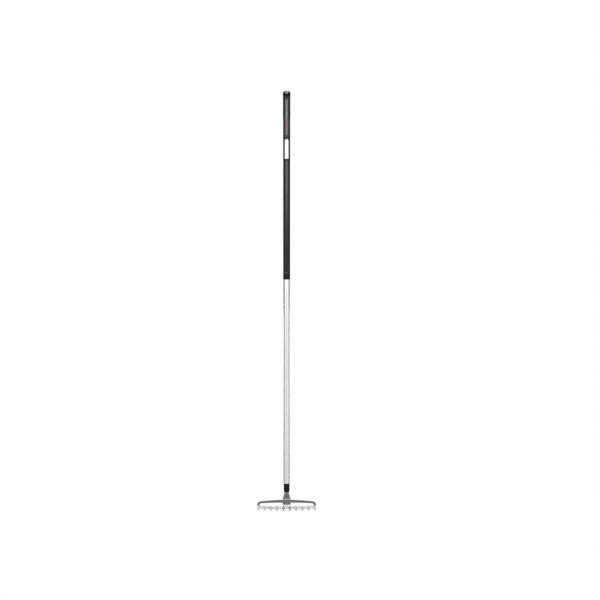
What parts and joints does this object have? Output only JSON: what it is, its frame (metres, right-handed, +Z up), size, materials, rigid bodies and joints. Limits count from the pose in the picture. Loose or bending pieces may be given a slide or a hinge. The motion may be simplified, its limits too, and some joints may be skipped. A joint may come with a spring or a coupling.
{
  "type": "garden rake",
  "caption": "Long handled garden rake with an aluminium shaft, black grip with a hanging slot, and a steel head of claw tines under an arched bow.",
  "frame": {"origin": "top of the hanging slot, on the shaft's axis, where a hook holds the rake", "axes": "+Z up the shaft towards the end cap, +X along the tine bar, -Y the way the tines point"},
  "size_m": [0.231, 0.0809, 1.6384],
  "materials": {
    "hanger_plastic": "black moulded plastic, fine matte",
    "grip_rubber": "soft black overmould",
    "cap_plastic": "black, half gloss",
    "disc": "warm pale disc, bare",
    "sleeve": "black, satin",
    "shaft": "drawn and anodised, satin",
    "pins": "plain",
    "head_steel": "grey metallic coat"
  },
  "bodies": {
    "root": {"hanger": "hanger_plastic", "upper_grip": "grip_rubber", "end_cap": "cap_plastic", "cap_disc": "disc", "handle_sleeve": "sleeve", "sleeve_end_ring": "hanger_plastic", "shaft_tube": "shaft", "hanger_pin": "pins", "tang_bush": "hanger_plastic", "tang_pin": "pins", "neck": "head_steel", "bow": "head_steel", "tine_bar": "head_steel", "tine_01": "head_steel", "tine_02": "head_steel", "tine_03": "head_steel", "tine_04": "head_steel", "tine_05": "head_steel", "tine_06": "head_steel", "tine_07": "head_steel", "tine_08": "head_steel", "tine_09": "head_steel", "tine_10": "head_steel"}
  },
  "joints": []
}
